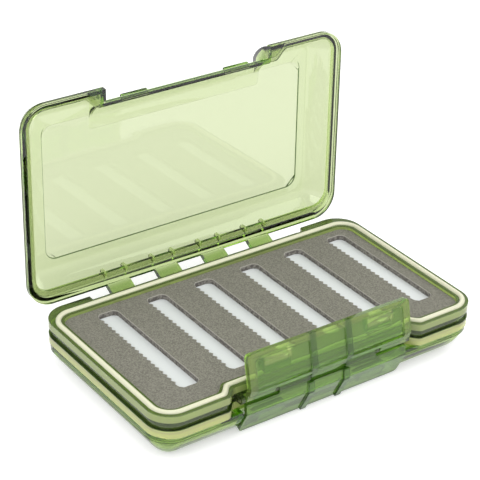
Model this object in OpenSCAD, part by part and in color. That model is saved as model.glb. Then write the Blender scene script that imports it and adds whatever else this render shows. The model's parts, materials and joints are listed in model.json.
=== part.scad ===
// Double-sided fly box: a flat tray with foam on both faces, a hinged lid over each face and two
// snap latches. X runs along the length, Y from the latches (-Y) to the hinge (+Y), Z is up.
// The origin is the centre of the face that the bottom lid rests on. The upper lid stands open and
// the upper latch hangs loose, the lower lid is shut.

/* [Case] */
// Length of the tray and of both lids
case_w = 186; // [170:1:210]
// Depth of the tray, front to rear
case_d = 107.4; // [100:0.2:120]
// Plan radius of the four corners
corner_r = 13; // [12.6:0.2:18]
// How far each lid's front edge stands back from the tray's
lid_front_setback = 0.9; // [0.2:0.1:1]
// How far each lid's rear edge stands back from the tray's lip
lid_rear_setback = 0.5; // [0.2:0.1:0.8]
// How far the rails beside the hinge bay stand out behind the lids' line
rail_out = 0.8; // [0:0.1:1.2]
// Gap between a shut lid's rim and the tray's rim
seam_gap = 0.2; // [0.1:0.05:0.4]

/* [Tray] */
// Height of the tray, rim to rim
tray_h = 12; // [11:0.2:16]
// Thickness of the floor in the middle of the tray
floor_t = 1.5; // [1.2:0.1:2]
// Height of each of the two bands that run round the tray
band_h = 4.2; // [3.4:0.1:4.6]
// Depth of the channel between the two bands
channel_depth = 1.2; // [0.6:0.1:1.6]
// Width of the rim outside the gasket
outer_lip_w = 1.7; // [1.5:0.1:2.2]
// Width of the rim inside the gasket
inner_lip_w = 1.3; // [1:0.1:2]
// Depth of the gasket groove
groove_depth = 1.5; // [1:0.1:2]

/* [Gasket] */
// Width of the gasket
gasket_w = 2.7; // [2.2:0.1:3]
// How far the gasket stands proud of the rim
gasket_proud = 1; // [0.6:0.1:1.1]
// Clearance of the gasket in its groove, on each side
gasket_fit = 0.05; // [0.02:0.01:0.1]

/* [Foam] */
// Thickness of the windowed foam insert
foam_t = 2.9; // [2:0.1:3.2]
// Thickness of the white sheet under the foam
backing_t = 0.7; // [0.5:0.1:1]
// Gap between the foam and the pocket's wall
foam_fit = 0.2; // [0.1:0.05:0.4]
// Number of windows in the foam
window_count = 6; // [3:1:6]
// Width of a window, to the middle of its teeth
window_w = 10.5; // [9:0.1:13]
// Length of a window
window_d = 73.4; // [60:0.2:74]
// Margin from the tray's left end to the first window
window_margin_left = 23.9; // [10:0.1:30]
// Margin from the last window to the tray's right end
window_margin_right = 12.6; // [10:0.1:30]
// How far the windows lie behind the centre
window_shift_y = 3; // [0:0.1:3.4]
// Corner radius of a window
window_r = 3; // [1.5:0.1:4]
// Spacing of the teeth along a window's left edge
tooth_pitch = 3.44; // [3:0.02:5]
// Depth of a tooth
tooth_depth = 1.2; // [0.8:0.1:1.6]

/* [Lids] */
// Height of a lid above its rim
lid_h = 15; // [14.6:0.1:20]
// Wall thickness of a lid
lid_wall = 2; // [1.6:0.1:2.2]
// Height of the flange round a lid's rim
flange_h = 3; // [2.4:0.1:4]
// How far the flange stands out from the wall above it
flange_step = 0.9; // [0.4:0.1:1]
// Run of the rounded wall, from the flange to the flat top
wall_run = 10.6; // [8:0.1:10.8]
// Roundness of the wall: 1 is a straight slope, 2 is a quarter ellipse
wall_power = 1.45; // [1.2:0.05:2]
// How much thinner the wall is at its foot than at the flat top
wall_taper = 0.6; // [0.4:0.1:1]
// Depth of the lip that stands outside the gasket when a lid is shut
lip_h = 1.2; // [1.15:0.05:2]
// Depth of the sunk panel on the inside of a lid
panel_depth = 0.5; // [0.3:0.1:0.8]
// Margin from a lid's side to the panel
panel_margin_x = 17; // [15:0.5:25]
// Margin from a lid's front to the panel
panel_margin_front = 18; // [17:0.5:25]
// Margin from a lid's rear to the panel
panel_margin_rear = 16.2; // [15:0.2:25]
// Corner radius of the panel
panel_r = 6; // [3:0.5:9]

/* [Hinge] */
// Distance of the hinge line behind the tray
hinge_out = 2.6; // [2.4:0.1:4]
// Outer radius of the hinge knuckles
barrel_r = 2; // [1.8:0.1:2.2]
// Radius of the hinge pin
pin_r = 1; // [0.8:0.05:1.2]
// Running clearance round a pin, on the radius
pin_run = 0.06; // [0.02:0.01:0.1]
// Width of an upper hinge arm
arm_w = 13.2; // [10:0.2:15]
// Space between two upper hinge arms
arm_gap = 15.2; // [14:0.2:16]
// Width of the tray's lugs beside each arm
lug_w = 2.4; // [1.8:0.1:3]
// Side clearance between knuckles and lugs
side_gap = 0.3; // [0.2:0.05:0.5]
// Thickness of an arm's plate where it meets the lid
arm_t = 3.2; // [2:0.1:3.4]
// Thickness of the two gussets that tie an arm to the lid's wall
gusset_t = 1.2; // [0.8:0.1:2]
// Height of the gussets above the lid's rim
gusset_h = 7.5; // [5:0.5:9]
// Depth of the hinge bay in the tray's rear edge
hinge_bay_depth = 2.7; // [2:0.1:3.5]
// Angle at which the upper lid stands open
open_angle = 91; // [80:0.5:92]

/* [Latches] */
// Half width of a latch
latch_half = 46.8; // [44:0.2:50]
// Side clearance between a latch and the lid's notch
notch_gap = 1; // [0.5:0.1:1.5]
// Distance of the latch pin behind the tray's front
latch_pin_in = 2.5; // [2.4:0.1:3]
// Outer radius of the latch knuckles
knuckle_r = 2.2; // [2:0.1:2.4]
// Thickness of a latch panel
latch_t = 2; // [1.6:0.1:2.1]
// How far the frame round the panels stands proud
frame_proud = 1; // [0.5:0.1:1.2]
// Height of the upper latch's plate edge above the pin
upper_start = 4.3; // [4:0.1:4.6]
// Height of the lower latch's plate edge from the pin
lower_start = 2.6; // [2.5:0.1:4]
// Height of the bend above the pin
bend_h = 8; // [7.6:0.1:9]
// Lean of the plate past the bend
bend_angle = 30; // [26:1:32]
// Length of the upper latch past its bend
upper_reach = 17; // [14:0.2:18]
// Length of the lower latch past its bend
lower_reach = 14; // [12:0.2:14.2]
// Width of the frame at the ends of a latch
frame_end_w = 4; // [3:0.2:6]
// Width of the two ribs between the panels
rib_w = 3.2; // [2:0.2:5]
// Distance of each rib from the centre
rib_x = 10.3; // [8:0.1:14]
// Width of the frame along the finger edge
frame_tip_w = 3.2; // [2:0.2:5]
// Width of the frame along the hinge edge
frame_foot_w = 2; // [1.4:0.1:2.6]
// Corner radius of a latch's finger edge
latch_corner_r = 2; // [1:0.2:3]
// Angle that the upper latch has swung out from shut
upper_slack = 17; // [5:0.5:25]
// Angle that the lower latch has eased out from shut
lower_slack = 3.5; // [3.5:0.5:5]

/* [Catches] */
// Distance of the middle of each catch from the centre
catch_x = 29.7; // [24:0.1:34]
// Width of a catch
catch_w = 15; // [10:0.5:18]
// Height of a catch's underside above the lid's rim
catch_z = 4; // [3.6:0.1:4.6]
// Thickness of a catch
catch_t = 1; // [0.8:0.1:1.2]
// How far a catch stands out from the notch's wall
catch_reach = 1.4; // [1.2:0.05:1.5]
// Radius of a catch's corners
catch_r = 0.8; // [0.4:0.1:1]
// Overlap of the hook over the catch
hook_bite = 0.5; // [0.3:0.05:0.55]
// Clearance between the hook and the catch
hook_gap = 0.15; // [0.1:0.05:0.3]
// Height of a hook
hook_h = 4.8; // [3:0.1:6]

/* [Latch bay] */
// Half width of the bay's floor
bay_floor_half = 49.5; // [49:0.5:52]
// Half width of the bay's mouth
bay_mouth_half = 57; // [55:0.5:62]
// Depth of the bay in the tray's front edge
bay_depth = 5.5; // [5.3:0.1:6]
// How far the lid's rim at its notch stands back from the bay's floor
notch_back = 2.6; // [2:0.1:2.8]
// How far the notch's wall stands back from that rim
notch_step = 1.2; // [1:0.1:1.6]
// Width of the tray's latch lugs
latch_lug_w = 2; // [1.6:0.1:3]
// Distance from the centre to the inner latch lugs
latch_lug_x = 29.6; // [26:0.1:34]

/* [Hidden] */

OVER = 1;
CUT_OVER = 0.01;
ARC_STEPS = 12;
CURVE_STEPS = 10;
LUG_BORE_FIT = 0.02;

rim_z = tray_h / 2;
lid_z = rim_z + seam_gap;
mid_z = lid_z + lid_h;
front_y = -case_d / 2;
rear_y = case_d / 2;
lid_front_y = front_y + lid_front_setback;
lid_rear_y = rear_y - lid_rear_setback;
lid_d = lid_rear_y - lid_front_y;
lid_mid_y = (lid_rear_y + lid_front_y) / 2;
bay_y = front_y + bay_depth;
notch_y = bay_y + notch_back;
notch_wall_y = notch_y + notch_step;
catch_tip_y = notch_wall_y - catch_reach;
notch_half = latch_half + notch_gap;
hinge_y = rear_y + hinge_out;
hinge_wall_y = rear_y - hinge_bay_depth;
arm_pitch = arm_w + arm_gap;
hinge_half = arm_pitch * 2 + arm_gap / 2;
lower_arm_w = arm_gap - 2 * lug_w - 4 * side_gap;
latch_y = front_y + latch_pin_in;
gasket_inset = outer_lip_w + gasket_w;
pocket_inset = gasket_inset + inner_lip_w;
pocket_depth = (tray_h - floor_t) / 2;
backing_z = floor_t / 2;
foam_z = backing_z + backing_t;
window_pitch = (case_w - window_margin_left - window_margin_right - window_w) / (window_count - 1);

// One point of a rounded wall: t runs from 0 at the flange to 1 at the flat top.
function bow(t, run, rise) = let (power = 2 / wall_power)
  [run * (1 - pow(cos(90 * t), power)), rise * pow(sin(90 * t), power)];
function bow_points(run, rise) = [for (i = [0:ARC_STEPS]) bow(i / ARC_STEPS, run, rise)];
function reversed(list) = [for (i = [len(list) - 1:-1:0]) list[i]];
function slid(list, dx, dy) = [for (p = list) [p[0] + dx, p[1] + dy]];

// Rounded rectangle in plan, from its four sides.
module plan(left, right, front, rear, r) {
  translate([left + r, front]) square([right - left - 2 * r, rear - front]);
  translate([left, front + r]) square([right - left, rear - front - 2 * r]);
  for (x = [left + r, right - r], y = [front + r, rear - r]) translate([x, y]) circle(r, $fn = 64);
}

// The latch bay in plan, grown by e. Its sides are smooth S curves.
module bay_plan(e) {
  floor_half = bay_floor_half + e * 0.5;
  mouth_half = bay_mouth_half + e * 0.5;
  side = [for (i = [0:CURVE_STEPS]) let (t = i / CURVE_STEPS)
    [floor_half + (mouth_half - floor_half) * t, bay_y + e - bay_depth * (1 - cos(180 * t)) / 2]];
  mouth = [[mouth_half, front_y - OVER], [-mouth_half, front_y - OVER]];
  polygon(concat(side, mouth, [for (p = reversed(side)) [-p[0], p[1]]]));
}

// The tray's outline at a given inset from its edge, without the rails behind the hinge bay.
module rim_plan(e) {
  difference() {
    plan(-case_w / 2 + e, case_w / 2 - e, front_y + e, hinge_wall_y - e, corner_r - e);
    bay_plan(e);
  }
}

// The tray's full outline: the rim and the two rails beside the hinge bay.
module tray_plan(e) {
  difference() {
    plan(-case_w / 2 + e, case_w / 2 - e, front_y + e, rear_y + rail_out - e, corner_r - e);
    bay_plan(e);
    translate([-hinge_half - e, hinge_wall_y - e])
      square([2 * (hinge_half + e), hinge_bay_depth + rail_out + OVER + e]);
  }
}

// Lug on the tray that holds a pin: a round end on an arm that is rooted in the wall.
module lug(x, w, pin_y, root_y) {
  low = min(pin_y, root_y);
  translate([x - w / 2, low, -barrel_r]) cube([w, abs(pin_y - root_y), 2 * barrel_r]);
  along_x(x, w, pin_y, barrel_r);
}

// Cylinder along X with its middle at x.
module along_x(x, w, y, r) {
  translate([x - w / 2, y, 0]) rotate([0, 90, 0]) cylinder(h = w, r = r, $fn = 48);
}

module tray_frame() {
  lug_offset = arm_w / 2 + side_gap + lug_w / 2;
  end_lug_w = lug_w + side_gap;
  hinge_root_y = hinge_wall_y - 2 * channel_depth;
  latch_root_y = bay_y + 2 * channel_depth;
  color([0.55, 0.66, 0.33, 0.6]) translate([0, 0, mid_z]) difference() {
    union() {
      difference() {
        translate([0, 0, -rim_z]) linear_extrude(tray_h) tray_plan(0);
        translate([0, 0, -rim_z + band_h]) linear_extrude(tray_h - 2 * band_h) difference() {
          plan(-case_w, case_w, -case_d, case_d, corner_r);
          tray_plan(channel_depth);
        }
      }
      for (k = [-1.5:1:1.5], s = [-1, 1]) lug(k * arm_pitch + s * lug_offset, lug_w, hinge_y, hinge_root_y);
      for (s = [-1, 1]) {
        lug(s * (hinge_half - end_lug_w / 2), end_lug_w, hinge_y, hinge_root_y);
        lug(s * latch_lug_x, latch_lug_w, latch_y, latch_root_y);
        lug(s * (latch_half + side_gap + latch_lug_w / 2), latch_lug_w, latch_y, latch_root_y);
      }
    }
    for (s = [0, 1]) mirror([0, 0, s]) {
      translate([0, 0, floor_t / 2]) linear_extrude(tray_h) rim_plan(pocket_inset);
      translate([0, 0, rim_z - groove_depth]) linear_extrude(tray_h) difference() {
        rim_plan(outer_lip_w);
        rim_plan(gasket_inset);
      }
    }
    along_x(0, 2 * hinge_half + OVER, hinge_y, pin_r + LUG_BORE_FIT);
    along_x(0, case_w / 2 + 2 * OVER + latch_half / 4, latch_y, pin_r + LUG_BORE_FIT);
  }
}

// Gasket ring in its groove: a flat foot and a crown that steps in twice.
module gasket() {
  foot_h = groove_depth + gasket_proud / 2;
  crown_h = gasket_proud / 4;
  color([0.9, 0.88, 0.76]) {
    gasket_layer(0, 0, foot_h);
    gasket_layer(gasket_w / 8, foot_h, crown_h);
    gasket_layer(gasket_w / 4, foot_h + crown_h, crown_h);
  }
}
module gasket_layer(inset, low, height) {
  translate([0, 0, rim_z - groove_depth + low]) linear_extrude(height) difference() {
    rim_plan(outer_lip_w + gasket_fit + inset);
    rim_plan(gasket_inset - gasket_fit - inset);
  }
}
module upper_gasket() { translate([0, 0, mid_z]) gasket(); }
module lower_gasket() { translate([0, 0, mid_z]) mirror([0, 0, 1]) gasket(); }

// One window of the foam, with its lower left corner at the origin and teeth on its left edge.
module window_plan() {
  teeth = floor((window_d - 2 * window_r) / tooth_pitch);
  start = (window_d - teeth * tooth_pitch) / 2;
  left = [for (i = [0:teeth - 1]) each [
    [-tooth_depth / 2, start + i * tooth_pitch], [tooth_depth / 2, start + (i + 0.5) * tooth_pitch]]];
  corner = [for (a = [0:15:90]) [sin(a), cos(a)] * window_r];
  rear = [for (p = corner) [window_w - window_r + p[0], window_d - window_r + p[1]]];
  front = [for (p = reversed(corner)) [window_w - window_r + p[0], window_r - p[1]]];
  last = [-tooth_depth / 2, start + teeth * tooth_pitch];
  polygon(concat(left, [last, [0, window_d - window_r / 2], [window_r / 2, window_d]], rear, front,
    [[window_r / 2, 0], [0, window_r / 2]]));
}

module foam_insert() {
  color([0.53, 0.52, 0.47]) translate([0, 0, foam_z]) linear_extrude(foam_t) difference() {
    rim_plan(pocket_inset + foam_fit);
    for (i = [0:window_count - 1])
      translate([window_margin_left - case_w / 2 + i * window_pitch, window_shift_y - window_d / 2])
        window_plan();
  }
}
module upper_foam_insert() { translate([0, 0, mid_z]) foam_insert(); }
module lower_foam_insert() { translate([0, 0, mid_z]) mirror([0, 0, 1]) foam_insert(); }

module backing_sheet() {
  color([0.89, 0.9, 0.9]) translate([0, 0, backing_z]) linear_extrude(backing_t)
    rim_plan(pocket_inset + foam_fit);
}
module upper_backing_sheet() { translate([0, 0, mid_z]) backing_sheet(); }
module lower_backing_sheet() { translate([0, 0, mid_z]) mirror([0, 0, 1]) backing_sheet(); }

// Lid's body about its own middle: straight sides, round corners and a profile of [inset, height] points.
module dome(points) {
  low = points[0][1];
  high = points[len(points) - 1][1];
  straight_w = case_w - 2 * corner_r;
  straight_d = lid_d - 2 * corner_r;
  corner = slid([for (p = points) [-p[0], p[1]]], corner_r, 0);
  translate([0, lid_mid_y, 0]) {
    for (sx = [-1, 1], sy = [-1, 1]) translate([sx * straight_w / 2, sy * straight_d / 2, 0])
      rotate_extrude($fn = 64) polygon(concat([[0, low]], corner, [[0, high]]));
    rotate([90, 0, 90]) linear_extrude(straight_w, center = true) ridge(lid_d, points);
    rotate([90, 0, 0]) linear_extrude(straight_d, center = true) ridge(case_w, points);
  }
}

// Section across the lid, from one side to the other.
module ridge(span, points) {
  side = slid(points, -span / 2, 0);
  polygon(concat(side, [for (p = reversed(side)) [-p[0], p[1]]]));
}

// Space in front of the lid's notch: before its rim, and above the rim before its wall, grown by e.
module notch_space(e, run, rise) {
  wall = slid(bow_points(run, rise), notch_wall_y + e, flange_h);
  top = flange_h + rise + OVER;
  rim = [[front_y - OVER, -OVER], [notch_y + e, -OVER], [notch_y + e, flange_h]];
  rotate([90, 0, 90]) linear_extrude(2 * (notch_half + e), center = true)
    polygon(concat(rim, wall, [[notch_wall_y + e + run, top], [front_y - OVER, top]]));
}

// Hinge arm: a barrel on the hinge line and a plate that leans in to the lid's rear rim.
module hinge_arm(x, w) {
  plate_foot = [hinge_y - barrel_r * 0.7, barrel_r - lid_z];
  outline = [
    [hinge_y - barrel_r, -lid_z], plate_foot, [lid_rear_y - seam_gap, -2 * seam_gap],
    [lid_rear_y - outer_lip_w / 2, 0], [lid_rear_y - outer_lip_w / 2, flange_h],
    [lid_rear_y + arm_t / 2, flange_h / 2], [plate_foot[0] + arm_t, plate_foot[1]],
    [hinge_y + barrel_r, -lid_z]
  ];
  translate([x - w / 2, 0, lid_z]) rotate([90, 0, 90]) linear_extrude(w) polygon(outline);
  along_x(x, w, hinge_y, barrel_r);
}

// The two gussets inside the lid that tie an arm's rim to the wall.
module gussets(x, w) {
  land_y = hinge_wall_y - gasket_inset;
  side = [[land_y, lip_h], [land_y, flange_h + arm_t], [lid_rear_y, gusset_h + arm_t], [lid_rear_y, lip_h]];
  for (s = [-1, 1]) translate([x + s * (w - gusset_t) / 2, 0, 0]) rotate([90, 0, 90])
    linear_extrude(gusset_t, center = true) polygon(side);
}

// A shut lid about the case's middle plane, with its hinge arms at the given places.
module lid(arm_places, width_of_arm) {
  inner_run = wall_run - lid_wall + wall_taper;
  rise = lid_h - flange_h;
  inner_rise = rise - lid_wall;
  outer_points = concat([[0, 0], [0, flange_h]], slid(bow_points(wall_run, rise), flange_step, flange_h));
  inner_points = slid(bow_points(inner_run, inner_rise), flange_step + lid_wall, flange_h);
  difference() {
    union() {
      translate([0, 0, lid_z]) difference() {
        dome(outer_points);
        notch_space(0, wall_run, rise);
      }
      for (x = arm_places) hinge_arm(x, width_of_arm);
    }
    translate([0, 0, lid_z]) {
      difference() {
        dome(inner_points);
        notch_space(lid_wall, inner_run, inner_rise);
        for (x = arm_places) gussets(x, width_of_arm);
      }
      translate([0, 0, -OVER]) linear_extrude(OVER + lip_h) rim_plan(outer_lip_w - gasket_fit * 2);
      translate([0, 0, -OVER]) linear_extrude(OVER + flange_h + CUT_OVER)
        rim_plan(gasket_inset + gasket_fit * 2);
      translate([0, 0, lid_h - lid_wall - OVER]) linear_extrude(OVER + panel_depth) panel_plan();
    }
    along_x(0, 3 * case_w / 4, hinge_y, pin_r + pin_run);
  }
  for (s = [-1, 1]) translate([s * catch_x, 0, lid_z + catch_z]) linear_extrude(catch_t)
    plan(-catch_w / 2, catch_w / 2, catch_tip_y, notch_wall_y + lid_wall / 2, catch_r);
}

// The sunk panel on the inside of a lid follows the notch at the front.
module panel_plan() {
  jog_half = notch_half + panel_r / 3;
  difference() {
    plan(-case_w / 2 + panel_margin_x, case_w / 2 - panel_margin_x, lid_front_y + panel_margin_front,
      lid_rear_y - panel_margin_rear, panel_r);
    plan(-jog_half, jog_half, lid_front_y, notch_wall_y + panel_margin_front - OVER, panel_r / 3);
  }
}

module top_lid() {
  color([0.75, 0.84, 0.52, 0.5]) translate([0, hinge_y, mid_z]) rotate([-open_angle, 0, 0])
    translate([0, -hinge_y, 0]) lid([for (k = [-1.5:1:1.5]) k * arm_pitch], arm_w);
}

module bottom_lid() {
  color([0.62, 0.7, 0.5, 0.5]) translate([0, 0, mid_z]) mirror([0, 0, 1])
    lid([for (k = [-2:1:2]) k * arm_pitch], lower_arm_w);
}

module hinge_pin() {
  color([0.75, 0.76, 0.77]) translate([0, 0, mid_z]) along_x(0, 2 * hinge_half, hinge_y, pin_r);
}

module latch_pin() {
  length = 2 * (latch_half + side_gap + latch_lug_w);
  color([0.75, 0.76, 0.77]) translate([0, 0, mid_z]) along_x(0, length, latch_y, pin_r);
}

// The line of a latch plate at a distance out from the panel's outer face, from hinge edge to finger edge.
function plate_line(out, start, reach) = let (
    bend = [-knuckle_r - out, bend_h + out * tan(bend_angle / 2)],
    along = [sin(bend_angle), cos(bend_angle)],
    away = [-cos(bend_angle), sin(bend_angle)]
  ) [[-knuckle_r - out, start], bend, [-knuckle_r, bend_h] + reach * along + out * away];

// Slab of a latch between two such lines, as an extrusion along X.
module slab(x0, x1, near, far) {
  translate([x0, 0, 0]) rotate([90, 0, 90]) linear_extrude(x1 - x0) polygon(concat(near, reversed(far)));
}

// Rectangle on the leaning part of a latch, rounded, from below the hinge edge to the finger edge less e.
module finger_outline(half, reach, e, r) {
  translate([0, 0, bend_h]) rotate([90 - bend_angle, 0, 0]) linear_extrude(2 * latch_half, center = true)
    plan(-half, half, -latch_half, reach - e - knuckle_r * sin(bend_angle), r);
}

// A shut latch for the upper lid, with its pin at the origin: a bent plate, two ribs or a raised
// frame outside, two hooks inside and the knuckles.
module latch(start, reach, framed, knuckles) {
  face = plate_line(-latch_t, start, reach);
  proud = plate_line(frame_proud, start, reach);
  intersection() {
    union() {
      slab(-latch_half, latch_half, plate_line(0, start, reach), face);
      for (s = [-1, 1]) slab(s * rib_x - rib_w / 2, s * rib_x + rib_w / 2, proud, face);
      if (framed) difference() {
        slab(-latch_half, latch_half, proud, face);
        intersection() {
          finger_outline(latch_half - frame_end_w, reach, frame_tip_w, latch_corner_r);
          translate([-latch_half, -latch_half, start + frame_foot_w]) cube(2 * latch_half);
        }
      }
    }
    finger_outline(latch_half, reach, 0, latch_corner_r);
  }
  latch_hooks(face);
  difference() {
    for (span = knuckles) {
      translate([span[0], -knuckle_r, 0]) cube([span[1] - span[0], latch_t, start + frame_foot_w]);
      along_x((span[0] + span[1]) / 2, span[1] - span[0], 0, knuckle_r);
    }
    along_x(0, 2 * latch_half + OVER, 0, pin_r + pin_run);
  }
}

// The two hooks that reach in over the catches from the inner face of a latch.
module latch_hooks(face) {
  lean = tan(bend_angle);
  low = lid_z + catch_z + catch_t + hook_gap;
  root = face[1][0] + (low - face[1][1]) * lean - latch_t / 2;
  tip = catch_tip_y + hook_bite - latch_y;
  for (s = [-1, 1]) slab(s * catch_x - catch_w / 2, s * catch_x + catch_w / 2,
    [[root, low], [root + hook_h * lean, low + hook_h]], [[tip, low], [tip + hook_h * lean, low + hook_h]]);
}

module upper_latch() {
  lug_edge = latch_lug_x + latch_lug_w / 2 + side_gap;
  middle = rib_x - side_gap / 2;
  color([0.48, 0.63, 0.34, 0.7]) translate([0, latch_y, mid_z]) rotate([upper_slack, 0, 0])
    latch(upper_start, upper_reach, true,
      [[-latch_half, -lug_edge], [-middle, middle], [lug_edge, latch_half]]);
}

module lower_latch() {
  lug_edge = latch_lug_x - latch_lug_w / 2 - side_gap;
  middle = rib_x + side_gap / 2;
  color([0.42, 0.56, 0.31, 0.7]) translate([0, latch_y, mid_z]) mirror([0, 0, 1]) rotate([lower_slack, 0, 0])
    latch(lower_start, lower_reach, false, [[-lug_edge, -middle], [middle, lug_edge]]);
}

tray_frame();
upper_gasket();
lower_gasket();
upper_foam_insert();
lower_foam_insert();
upper_backing_sheet();
lower_backing_sheet();
top_lid();
bottom_lid();
hinge_pin();
latch_pin();
upper_latch();
lower_latch();
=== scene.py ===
import json
import math

import bmesh
import bpy
from mathutils import Matrix, Vector


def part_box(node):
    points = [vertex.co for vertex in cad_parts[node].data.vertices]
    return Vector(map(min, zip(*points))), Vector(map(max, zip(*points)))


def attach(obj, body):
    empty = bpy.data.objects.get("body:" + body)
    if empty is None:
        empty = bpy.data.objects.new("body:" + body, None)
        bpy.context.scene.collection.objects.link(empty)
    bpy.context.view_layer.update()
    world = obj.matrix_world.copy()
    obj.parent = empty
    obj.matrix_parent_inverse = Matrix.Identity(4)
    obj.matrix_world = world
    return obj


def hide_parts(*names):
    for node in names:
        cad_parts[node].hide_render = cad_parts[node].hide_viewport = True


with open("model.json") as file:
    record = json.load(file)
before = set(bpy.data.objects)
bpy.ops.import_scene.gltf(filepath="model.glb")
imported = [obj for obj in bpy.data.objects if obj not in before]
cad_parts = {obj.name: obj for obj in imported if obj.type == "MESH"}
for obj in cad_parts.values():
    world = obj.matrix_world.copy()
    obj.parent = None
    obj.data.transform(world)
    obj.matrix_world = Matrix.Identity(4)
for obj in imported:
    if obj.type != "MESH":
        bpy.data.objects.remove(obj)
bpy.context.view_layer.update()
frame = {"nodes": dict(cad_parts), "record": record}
nodes = frame["nodes"]
scene = bpy.context.scene
scene.view_settings.view_transform = "Standard"
MM = 0.001

# --- Camera -------------------------------------------------------------------------------
# A long lens in front of the box and to its left, about half a metre above the surface, with
# a slight tilt. Places are in the CAD's frame: metres, +Z up, latches towards -Y.
VIEW_FROM = Vector((-434.2, -574.6, 470.4)) * MM
VIEW_AZIMUTH = math.radians(-36.15)
VIEW_ELEVATION = math.radians(29.39)
VIEW_ROLL = math.radians(1.82)
FOCAL_PIXELS = 1742.1
FRAME_PIXELS = 480
SENSOR_MM = 36
NEAREST = 0.01

back = Vector((math.sin(VIEW_AZIMUTH) * math.cos(VIEW_ELEVATION),
               -math.cos(VIEW_AZIMUTH) * math.cos(VIEW_ELEVATION), math.sin(VIEW_ELEVATION)))
level = Vector((math.cos(VIEW_AZIMUTH), math.sin(VIEW_AZIMUTH), 0))
right = level * math.cos(VIEW_ROLL) + back.cross(level) * math.sin(VIEW_ROLL)
turn = Matrix((right, back.cross(right), back)).transposed().to_4x4()
camera = bpy.data.objects.new("camera", bpy.data.cameras.new("camera"))
scene.collection.objects.link(camera)
camera.data.lens = FOCAL_PIXELS / FRAME_PIXELS * SENSOR_MM
camera.data.sensor_width = SENSOR_MM
camera.data.clip_start = NEAREST
camera.matrix_world = Matrix.Translation(VIEW_FROM) @ turn
scene.camera = camera


# --- Floor and light ----------------------------------------------------------------------
# A white table top that runs out of view and a white surround. Seen directly, in gloss or
# through the plastic they are plain white, and the table keeps a soft shadow. Overhead, gloss
# and clear plastic see a dark green room, which draws the dark lines at their edges.
class Mark:
    """A number that varies over a surface. Sums and products of it add Math nodes."""

    def __init__(self, finish, socket):
        self.finish, self.socket = finish, socket

    def combined(self, operation, first, second=0.0):
        return self.finish.add("ShaderNodeMath", {"operation": operation}, {0: first, 1: second})

    def __add__(self, other):
        return self.combined("ADD", self, other)

    def __sub__(self, other):
        return self.combined("SUBTRACT", self, other)

    def __rsub__(self, other):
        return self.combined("SUBTRACT", other, self)

    def __mul__(self, other):
        return self.combined("MULTIPLY", self, other)

    def __abs__(self):
        return self.combined("ABSOLUTE", self)

    def above(self, low, high):
        """0 below low and 1 above high, with a smooth step between."""
        return self.finish.add("ShaderNodeMapRange", {"interpolation_type": "SMOOTHSTEP"},
                               {"Value": self, "From Min": low, "From Max": high})

    def past(self, level, soft):
        """0 below a level and 1 above it."""
        return self.above(level - soft, level + soft)

    def near(self, middle, half, soft):
        """1 within half of the middle and 0 beyond it."""
        return self.past(middle - half, soft) * (1 - self.past(middle + half, soft))

    __radd__ = __add__
    __rmul__ = __mul__


class Finish:
    """A material, and the nodes that it is made of."""

    def __init__(self, name, tree=None):
        self.material = None
        if tree is None:
            self.material = bpy.data.materials.new(name)
            self.material.use_nodes = True
            tree = self.material.node_tree
        self.tree = tree
        self.shader = next((n for n in tree.nodes if n.type == "BSDF_PRINCIPLED"), None)

    def plug(self, socket, value):
        if isinstance(value, Mark):
            self.tree.links.new(value.socket, socket)
        else:
            socket.default_value = value

    def add(self, kind, settings=None, sockets=None, out=0):
        made = self.tree.nodes.new(kind)
        for key, value in (settings or {}).items():
            setattr(made, key, value)
        for key, value in (sockets or {}).items():
            self.plug(made.inputs[key], value)
        return Mark(self, made.outputs[out])

    def also(self, mark, out):
        """Another output of the node that mark comes from."""
        return Mark(self, mark.socket.node.outputs[out])

    def mixed(self, share, first, second):
        """A colour between two others."""
        made = self.tree.nodes.new("ShaderNodeMix")
        made.data_type = "RGBA"
        sockets = (made.inputs[0], made.inputs[6], made.inputs[7])
        for socket, value in zip(sockets, (share, first, second)):
            self.plug(socket, value)
        return Mark(self, made.outputs[2])

    def set(self, **sockets):
        for key, value in sockets.items():
            self.plug(self.shader.inputs[key.replace("_", " ")], value)
        return self


def seen(red, green, blue):
    """A colour as it looks on screen, 0 to 255, in the renderer's linear values."""
    return tuple((c / 255 / 12.92 if c <= 10 else ((c / 255 + 0.055) / 1.055) ** 2.4)
                 for c in (red, green, blue)) + (1.0,)


def looked_at(finish):
    """1 for a ray from the camera, from gloss or through the plastic, and 0 for light."""
    path = finish.add("ShaderNodeLightPath", out="Is Camera Ray")
    through = finish.also(path, "Is Glossy Ray") + finish.also(path, "Is Transmission Ray")
    return path.combined("MINIMUM", path + through, 1.0)


WHITE = (1, 1, 1, 1)
SURROUND_LIGHT = 0.75
ROOM_ABOVE = (0.09, 0.19, 0.05, 1)
ROOM_FROM, ROOM_FULL = 0.3, 0.75
TABLE_GLOW = 0.5
TABLE_GREY = (0.8, 0.8, 0.8, 1)
TABLE_HALF = 3.0
LAMPS = (("window light", (-0.7, -0.5, 1.1), 1.0, 9.0), ("fill light", (0.9, -0.3, 0.8), 0.8, 4.0))

world = bpy.data.worlds.new("surround")
scene.world = world
world.use_nodes = True
surround = Finish("surround", world.node_tree)
sky = next(n for n in world.node_tree.nodes if n.type == "BACKGROUND")
way = surround.add("ShaderNodeTexCoord", out="Generated")
overhead = surround.add("ShaderNodeSeparateXYZ", None, {"Vector": way}, out="Z")
direct = surround.add("ShaderNodeLightPath", out="Is Camera Ray")
room = overhead.above(ROOM_FROM, ROOM_FULL) * (1 - direct) * looked_at(surround)
strength = SURROUND_LIGHT + looked_at(surround) * (1 - SURROUND_LIGHT)
surround.plug(sky.inputs["Strength"], strength)
surround.plug(sky.inputs["Color"], surround.mixed(room, WHITE, ROOM_ABOVE))

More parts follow.
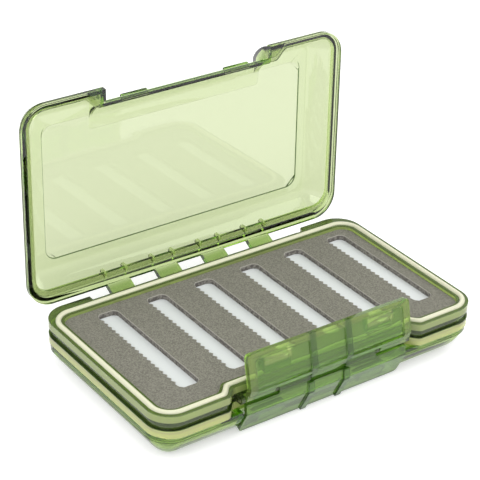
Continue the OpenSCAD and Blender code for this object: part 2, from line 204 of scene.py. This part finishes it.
table_mesh = bpy.data.meshes.new("table")
corners = [(x * TABLE_HALF, y * TABLE_HALF, 0) for x, y in ((-1, -1), (1, -1), (1, 1), (-1, 1))]
table_mesh.from_pydata(corners, [], [(0, 1, 2, 3)])
table = bpy.data.objects.new("table", table_mesh)
scene.collection.objects.link(table)
white = Finish("white table").set(Base_Color=TABLE_GREY, Roughness=0.9, Emission_Color=WHITE)
white.plug(white.shader.inputs["Specular IOR Level"], 0.0)
white.plug(white.shader.inputs["Emission Strength"], looked_at(white) * TABLE_GLOW)
table_mesh.materials.append(white.material)

for name, place, size, power in LAMPS:
    lamp = bpy.data.lights.new(name, "AREA")
    lamp.size = size
    lamp.energy = power
    holder = bpy.data.objects.new(name, lamp)
    scene.collection.objects.link(holder)
    holder.location = place
    holder.rotation_mode = "QUATERNION"
    holder.rotation_quaternion = (-Vector(place)).to_track_quat("-Z", "Y")


# --- Tray ---------------------------------------------------------------------------------
# One moulding in tinted, slightly milky plastic: two bands with a channel between them, a rim
# with a groove and a pocket on each face. Its colour is painted by height as painted light and
# shade: pale bands, the lower one paler as a painted glow, a channel painted dark as painted
# shade with darker painted lines at its edges, and a dark painted line along the rim's top.
MERGE = 1e-6
MOULD_ANGLE = math.radians(20)
PLASTIC_IOR = 1.5
DENSITY_ROOM = 1.05


def joined_surface(node):
    """A copy of the node's surface, in place, with the corners of its triangles joined."""
    joined = bmesh.new()
    joined.from_mesh(nodes[node].data)
    joined.transform(nodes[node].matrix_world)
    bmesh.ops.remove_doubles(joined, verts=joined.verts, dist=MERGE)
    return joined


def shaded(name, mesh, finish, angle):
    """A piece from a mesh, shaded smooth up to an angle."""
    mesh.shade_smooth()
    mesh.set_sharp_from_angle(angle=angle)
    mesh.materials.clear()
    mesh.materials.append(finish.material)
    piece = bpy.data.objects.new(name, mesh)
    scene.collection.objects.link(piece)
    return piece


def stand_in(piece, node):
    """The piece stands for a CAD node: the node is hidden and the piece rides the node's body."""
    bodies = frame["record"]["behaviour"]["bodies"]
    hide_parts(node)
    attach(piece, next(name for name, members in bodies.items() if node in members))


def moulding(node, finish, angle=MOULD_ANGLE):
    """The node's own surface as a smooth piece."""
    joined = joined_surface(node)
    mesh = bpy.data.meshes.new(node + "_moulding")
    joined.to_mesh(mesh)
    joined.free()
    piece = shaded(node + "_moulding", mesh, finish, angle)
    piece.modifiers.new("even shading", "WEIGHTED_NORMAL").keep_sharp = True
    stand_in(piece, node)


def clear(name, kept_per_mm, surface, roughness, through=1.0):
    """Clear plastic that keeps a share of red, green and blue light on each millimetre."""
    made = Finish(name).set(Base_Color=surface, Roughness=roughness, IOR=PLASTIC_IOR)
    made.set(Transmission_Weight=through)
    lost = [-math.log(share) / MM for share in kept_per_mm]
    density = max(lost) * DENSITY_ROOM
    colour = tuple(1 - one / density for one in lost) + (1.0,)
    depth = made.add("ShaderNodeVolumeAbsorption", None, {"Color": colour, "Density": density})
    out = next(n for n in made.tree.nodes if n.type == "OUTPUT_MATERIAL")
    made.plug(out.inputs["Volume"], depth)
    return made


def placed(finish):
    """A point's X, Y and Z in the CAD's frame, and the three together."""
    place = finish.add("ShaderNodeTexCoord", out="Object")
    x = finish.add("ShaderNodeSeparateXYZ", None, {"Vector": place}, out="X")
    return x, finish.also(x, "Y"), finish.also(x, "Z"), place


CHANNEL_HALF = 1.9 * MM
CHANNEL_EDGE_HALF = 0.3 * MM
RIM_FACE = 0.4 * MM
EDGE = 0.2 * MM
TRAY_TINT = seen(236, 243, 200)
# Painted light and shade: a glow on the bands, shade in the channel, and dark lines at the
# channel's edges and along the rim's top.
LOWER_BAND_PAINTED_GLOW = seen(252, 255, 178)
CHANNEL_PAINTED_SHADE = seen(98, 118, 62)
CHANNEL_EDGE_PAINTED_SHADE = seen(60, 78, 38)
UPPER_BAND_PAINTED_LIGHT = seen(216, 232, 150)
RIM_PAINTED_SHADE = seen(124, 146, 80)

(_, _, tray_foot), (_, _, tray_top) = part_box("tray_frame")
tray_mid = (tray_foot + tray_top) / 2
milky = clear("tray plastic", (0.93, 0.96, 0.84), TRAY_TINT, roughness=0.04, through=0.6)
height = placed(milky)[2]
# The tray's light and shade are painted by height, band by band.
painted_shading = milky.mixed(height.past(tray_mid - CHANNEL_HALF, EDGE), LOWER_BAND_PAINTED_GLOW, CHANNEL_PAINTED_SHADE)
painted_shading = milky.mixed(height.past(tray_mid + CHANNEL_HALF, EDGE), painted_shading, UPPER_BAND_PAINTED_LIGHT)
painted_shading = milky.mixed(height.past(tray_top - RIM_FACE, EDGE), painted_shading, RIM_PAINTED_SHADE)
for edge in (tray_mid - CHANNEL_HALF, tray_mid + CHANNEL_HALF):
    painted_shading = milky.mixed(height.near(edge, CHANNEL_EDGE_HALF, EDGE), painted_shading, CHANNEL_EDGE_PAINTED_SHADE)
moulding("tray_frame", milky.set(Base_Color=painted_shading))

# --- Gaskets ------------------------------------------------------------------------------
# Soft cream rubber cord, pressed into the groove in the rim of each face. Its rounded crown
# stands proud for the lid to close on.
CROWN_ANGLE = math.radians(60)
cream = Finish("cream rubber").set(Base_Color=seen(231, 230, 202), Roughness=0.5)
for node in ("upper_gasket", "lower_gasket"):
    moulding(node, cream, CROWN_ANGLE)

# --- Foam ---------------------------------------------------------------------------------
# Grey closed-cell foam with a fine grain, cut to fit the pocket of each face. The outlines are
# the CAD sheet's, with the edges rounded over as a hot cutter leaves them. The cut walls are
# coarser than the face. Just below the face, the rounded edges are painted paler as a painted
# highlight.
FOAM_ROUND = 0.45 * MM
FOAM_STEPS = 2
FOAM_ANGLE = math.radians(50)
LEVEL = 1e-5
FLAT = 0.5
FACE_GRAIN, WALL_GRAIN = 1500.0, 700.0
FACE_SPREAD, WALL_SPREAD = (0.32, 0.68), (0.4, 0.62)
FACE_DARK, FACE_PALE = seen(108, 106, 96), seen(140, 138, 126)
WALL_DARK, WALL_PALE = seen(98, 94, 90), seen(138, 134, 128)
WALL_STARTS = (0.15 * MM, 0.7 * MM)
# A painted highlight, paler, on the rounded edges just below the foam's face.
LIP_PAINTED_HIGHLIGHT = seen(176, 173, 165)
LIP_HIGHLIGHT_SHARE = 0.65
LIP_HIGHLIGHT_STARTS, LIP_HIGHLIGHT_ENDS = (0, 0.05 * MM), (0.1 * MM, 0.5 * MM)


def outlines(node, height):
    """The closed outlines of a node's flat face at a height, as lists of points."""
    joined = joined_surface(node)
    after = {}
    for edge in joined.edges:
        level = all(abs(v.co.z - height) < LEVEL for v in edge.verts)
        flat = [abs(face.normal.z) > FLAT for face in edge.link_faces]
        if level and len(flat) == 2 and flat[0] != flat[1]:
            a, b = edge.verts
            after.setdefault(a, []).append(b)
            after.setdefault(b, []).append(a)
    loops, used = [], set()
    for first in after:
        if first in used:
            continue
        loop, here, last = [], first, None
        while here not in used:
            used.add(here)
            loop.append(here.co.copy())
            here, last = next((v for v in after[here] if v is not last), None), here
        loops.append(loop)
    joined.free()
    return loops


def foam_sheet(node, low, high, finish):
    """The sheet between two heights, as a filled outline with rounded edges."""
    plate = bpy.data.curves.new(node + "_outline", "CURVE")
    plate.dimensions, plate.fill_mode = "2D", "BOTH"
    plate.extrude = (high - low) / 2 - FOAM_ROUND
    plate.bevel_depth, plate.bevel_resolution = FOAM_ROUND, FOAM_STEPS
    plate.offset = -FOAM_ROUND
    for loop in outlines(node, high):
        line = plate.splines.new("POLY")
        line.points.add(len(loop) - 1)
        line.use_cyclic_u = True
        for point, place in zip(line.points, loop):
            point.co = (place.x, place.y, 0, 1)
    holder = bpy.data.objects.new(node + "_outline", plate)
    mesh = bpy.data.meshes.new_from_object(holder)
    bpy.data.objects.remove(holder)
    mesh.transform(Matrix.Translation((0, 0, (low + high) / 2)))
    piece = shaded(node + "_sheet", mesh, finish, FOAM_ANGLE)
    stand_in(piece, node)


def foam_finish(name, face_z, way):
    """Foam with its face at a height, looking up (way 1) or down (way -1)."""
    made = Finish(name).set(Roughness=0.95)
    _, _, height, place = placed(made)
    fine = {"Vector": place, "Scale": FACE_GRAIN, "Detail": 3.0}
    coarse = {"Vector": place, "Scale": WALL_GRAIN, "Detail": 2.0}
    fine = made.add("ShaderNodeTexNoise", None, fine).above(*FACE_SPREAD)
    coarse = made.add("ShaderNodeTexNoise", None, coarse).above(*WALL_SPREAD)
    depth = (face_z - height) * way
    # Painted highlight: the rounded edge just below the face is painted paler.
    lip_highlight = depth.above(*LIP_HIGHLIGHT_STARTS) * (1 - depth.above(*LIP_HIGHLIGHT_ENDS))
    face = made.mixed(lip_highlight * LIP_HIGHLIGHT_SHARE, made.mixed(fine, FACE_DARK, FACE_PALE), LIP_PAINTED_HIGHLIGHT)
    wall = made.mixed(coarse, WALL_DARK, WALL_PALE)
    return made.set(Base_Color=made.mixed(depth.above(*WALL_STARTS), face, wall))


for node, way in (("upper_foam_insert", 1), ("lower_foam_insert", -1)):
    (_, _, low), (_, _, high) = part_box(node)
    foam_sheet(node, low, high, foam_finish(node + " grey", high if way > 0 else low, way))

# --- Backing sheets -----------------------------------------------------------------------
# Smooth white plastic sheet, one on the floor of each pocket with the foam laid over it. It
# shows through the foam's windows.
sheet = Finish("white sheet").set(Base_Color=seen(226, 230, 229), Roughness=0.5)
for node in ("upper_backing_sheet", "lower_backing_sheet"):
    nodes[node].data.materials.clear()
    nodes[node].data.materials.append(sheet.material)

# --- Lids ---------------------------------------------------------------------------------
# Clear, faintly green mouldings with a sunk panel inside, on arms that turn on the hinge pin.
# On the upper lid the step round the panel, the wall behind the latch and the arms are
# painted darker, as painted shade for the dark lines and thick parts seen through the clear
# plastic. The sizes are of that lid standing open, as it does in the CAD.
PANEL_HALF_X = 76.0 * MM
PANEL_FOOT = 40.15 * MM
PANEL_TOP = 113.6 * MM
PANEL_RADIUS = 6.0 * MM
STEP_HALF = 0.2 * MM
STEP_SOFT = 0.05 * MM
STEP_ENDS = (110 * MM, 112 * MM)
LID_LEAN = math.tan(math.radians(1))
INNER_SIDE = 76.3 * MM
ARMS_END = 24 * MM
SOFT = 0.5 * MM
NOTCH_X = 47.2 * MM
NOTCH_WALL_Z = 123.6 * MM
NOTCH_WALL_HALF = 1.2 * MM
LID_TINT = seen(213, 215, 201)
# Painted shade: the step line, the arms and the wall behind the latch.
STEP_PAINTED_SHADE = seen(58, 76, 44)
ARM_PAINTED_SHADE = seen(170, 188, 136)
NOTCH_WALL_PAINTED_SHADE = seen(126, 170, 88)


def beyond(mark, middle, half):
    """How far a number lies past half of the middle, on either side."""
    return mark.combined("MAXIMUM", abs(mark - middle) - half, 0.0)


upper = clear("clear lid", (0.90, 0.94, 0.80), LID_TINT, roughness=0.02)
across, behind, height, _ = placed(upper)
panel_mid, panel_half = (PANEL_TOP + PANEL_FOOT) / 2, (PANEL_TOP - PANEL_FOOT) / 2
side = beyond(across, 0, PANEL_HALF_X - PANEL_RADIUS)
end = beyond(height, panel_mid, panel_half - PANEL_RADIUS)
outline = side.combined("SQRT", side * side + end * end)
inside = 1 - (behind - height * LID_LEAN).past(INNER_SIDE, EDGE)
# Painted shade: a dark line along the step round the sunk panel.
step_shade_mask = outline.near(PANEL_RADIUS, STEP_HALF, STEP_SOFT) * (1 - height.above(*STEP_ENDS)) * inside
painted_shading = upper.mixed(step_shade_mask, LID_TINT, STEP_PAINTED_SHADE)
# Painted shade: the arms are painted darker.
painted_shading = upper.mixed(height.past(ARMS_END, SOFT), ARM_PAINTED_SHADE, painted_shading)
# Painted shade: the wall behind the latch is painted a darker green.
wall = across.near(0, NOTCH_X, EDGE) * height.near(NOTCH_WALL_Z, NOTCH_WALL_HALF, EDGE)
moulding("top_lid", upper.set(Base_Color=upper.mixed(wall, painted_shading, NOTCH_WALL_PAINTED_SHADE)))
lower = clear("clear lower lid", (0.88, 0.93, 0.75), seen(198, 208, 172), roughness=0.02)
moulding("bottom_lid", lower)

# --- Pins ---------------------------------------------------------------------------------
# Drawn steel wire in two lengths, one through the knuckles of the hinge and one through those
# of the latches.
steel = Finish("pin steel").set(Base_Color=(0.62, 0.62, 0.6, 1), Metallic=1.0, Roughness=0.3)
for node in ("hinge_pin", "latch_pin"):
    moulding(node, steel)

# --- Latches ------------------------------------------------------------------------------
# Deeper green, slightly milky plates that turn on the latch pin and hook over the lids. Both
# have two ribs, painted darker as painted shade. The upper one has a raised frame, painted
# paler as painted light with a dark line of painted shade at its inner edge, and hooks painted
# paler as painted light.
RIB_X = 10.3 * MM
RIB_HALF = 1.8 * MM
RIB_SHADE_SHARE = 0.8
FRAME_END = 4.2 * MM
FRAME_TIP = 3.2 * MM
FRAME_LINE_SHADE_GAIN = 3.2
HOOK_X = 29.7 * MM
HOOK_HALF = 7.5 * MM
HOOK_HALF_HEIGHT = 2.2 * MM
HOOK_BELOW_TIP = 5.6 * MM
# Painted light on the frame and hooks, painted shade on the ribs and the frame's inner edge.
UPPER_PANEL = seen(164, 206, 98)
LOWER_PANEL = seen(142, 178, 88)
RIB_AND_EDGE_PAINTED_SHADE = seen(100, 142, 62)
FRAME_PAINTED_LIGHT = seen(192, 214, 118)
HOOK_PAINTED_LIGHT = seen(236, 250, 160)


def framed(made, across, height, tip):
    """The colour of a latch with a raised frame, and with two hooks just below its tip: the frame
    and hooks painted paler as painted light, with a dark line of painted shade inside the frame.
    """
    # Painted light: the hooks are painted paler.
    hook_light = (across.near(HOOK_X, HOOK_HALF, SOFT)
             * height.near(tip[2] - HOOK_BELOW_TIP, HOOK_HALF_HEIGHT, SOFT))
    panel = across.near(0, tip[0] - FRAME_END, SOFT) * (1 - height.past(tip[2] - FRAME_TIP, SOFT))
    frame_part = 1 - panel
    # Painted light: the frame is painted paler.
    colour = made.mixed(frame_part, made.mixed(hook_light, UPPER_PANEL, HOOK_PAINTED_LIGHT), FRAME_PAINTED_LIGHT)
    # Painted shade: a dark line where the frame meets the panel.
    return made.mixed(frame_part * panel * FRAME_LINE_SHADE_GAIN, colour, RIB_AND_EDGE_PAINTED_SHADE)


for node in ("upper_latch", "lower_latch"):
    made = clear(node + " plastic", (0.93, 0.97, 0.88), UPPER_PANEL, roughness=0.08, through=0.84)
    sideways, _, height, _ = placed(made)
    across = abs(sideways)
    colour = LOWER_PANEL
    if node == "upper_latch":
        colour = framed(made, across, height, tip=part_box(node)[1])
    # Painted shade: the ribs are painted darker.
    rib_shade = across.near(RIB_X, RIB_HALF, SOFT) * RIB_SHADE_SHARE
    moulding(node, made.set(Base_Color=made.mixed(rib_shade, colour, RIB_AND_EDGE_PAINTED_SHADE)))
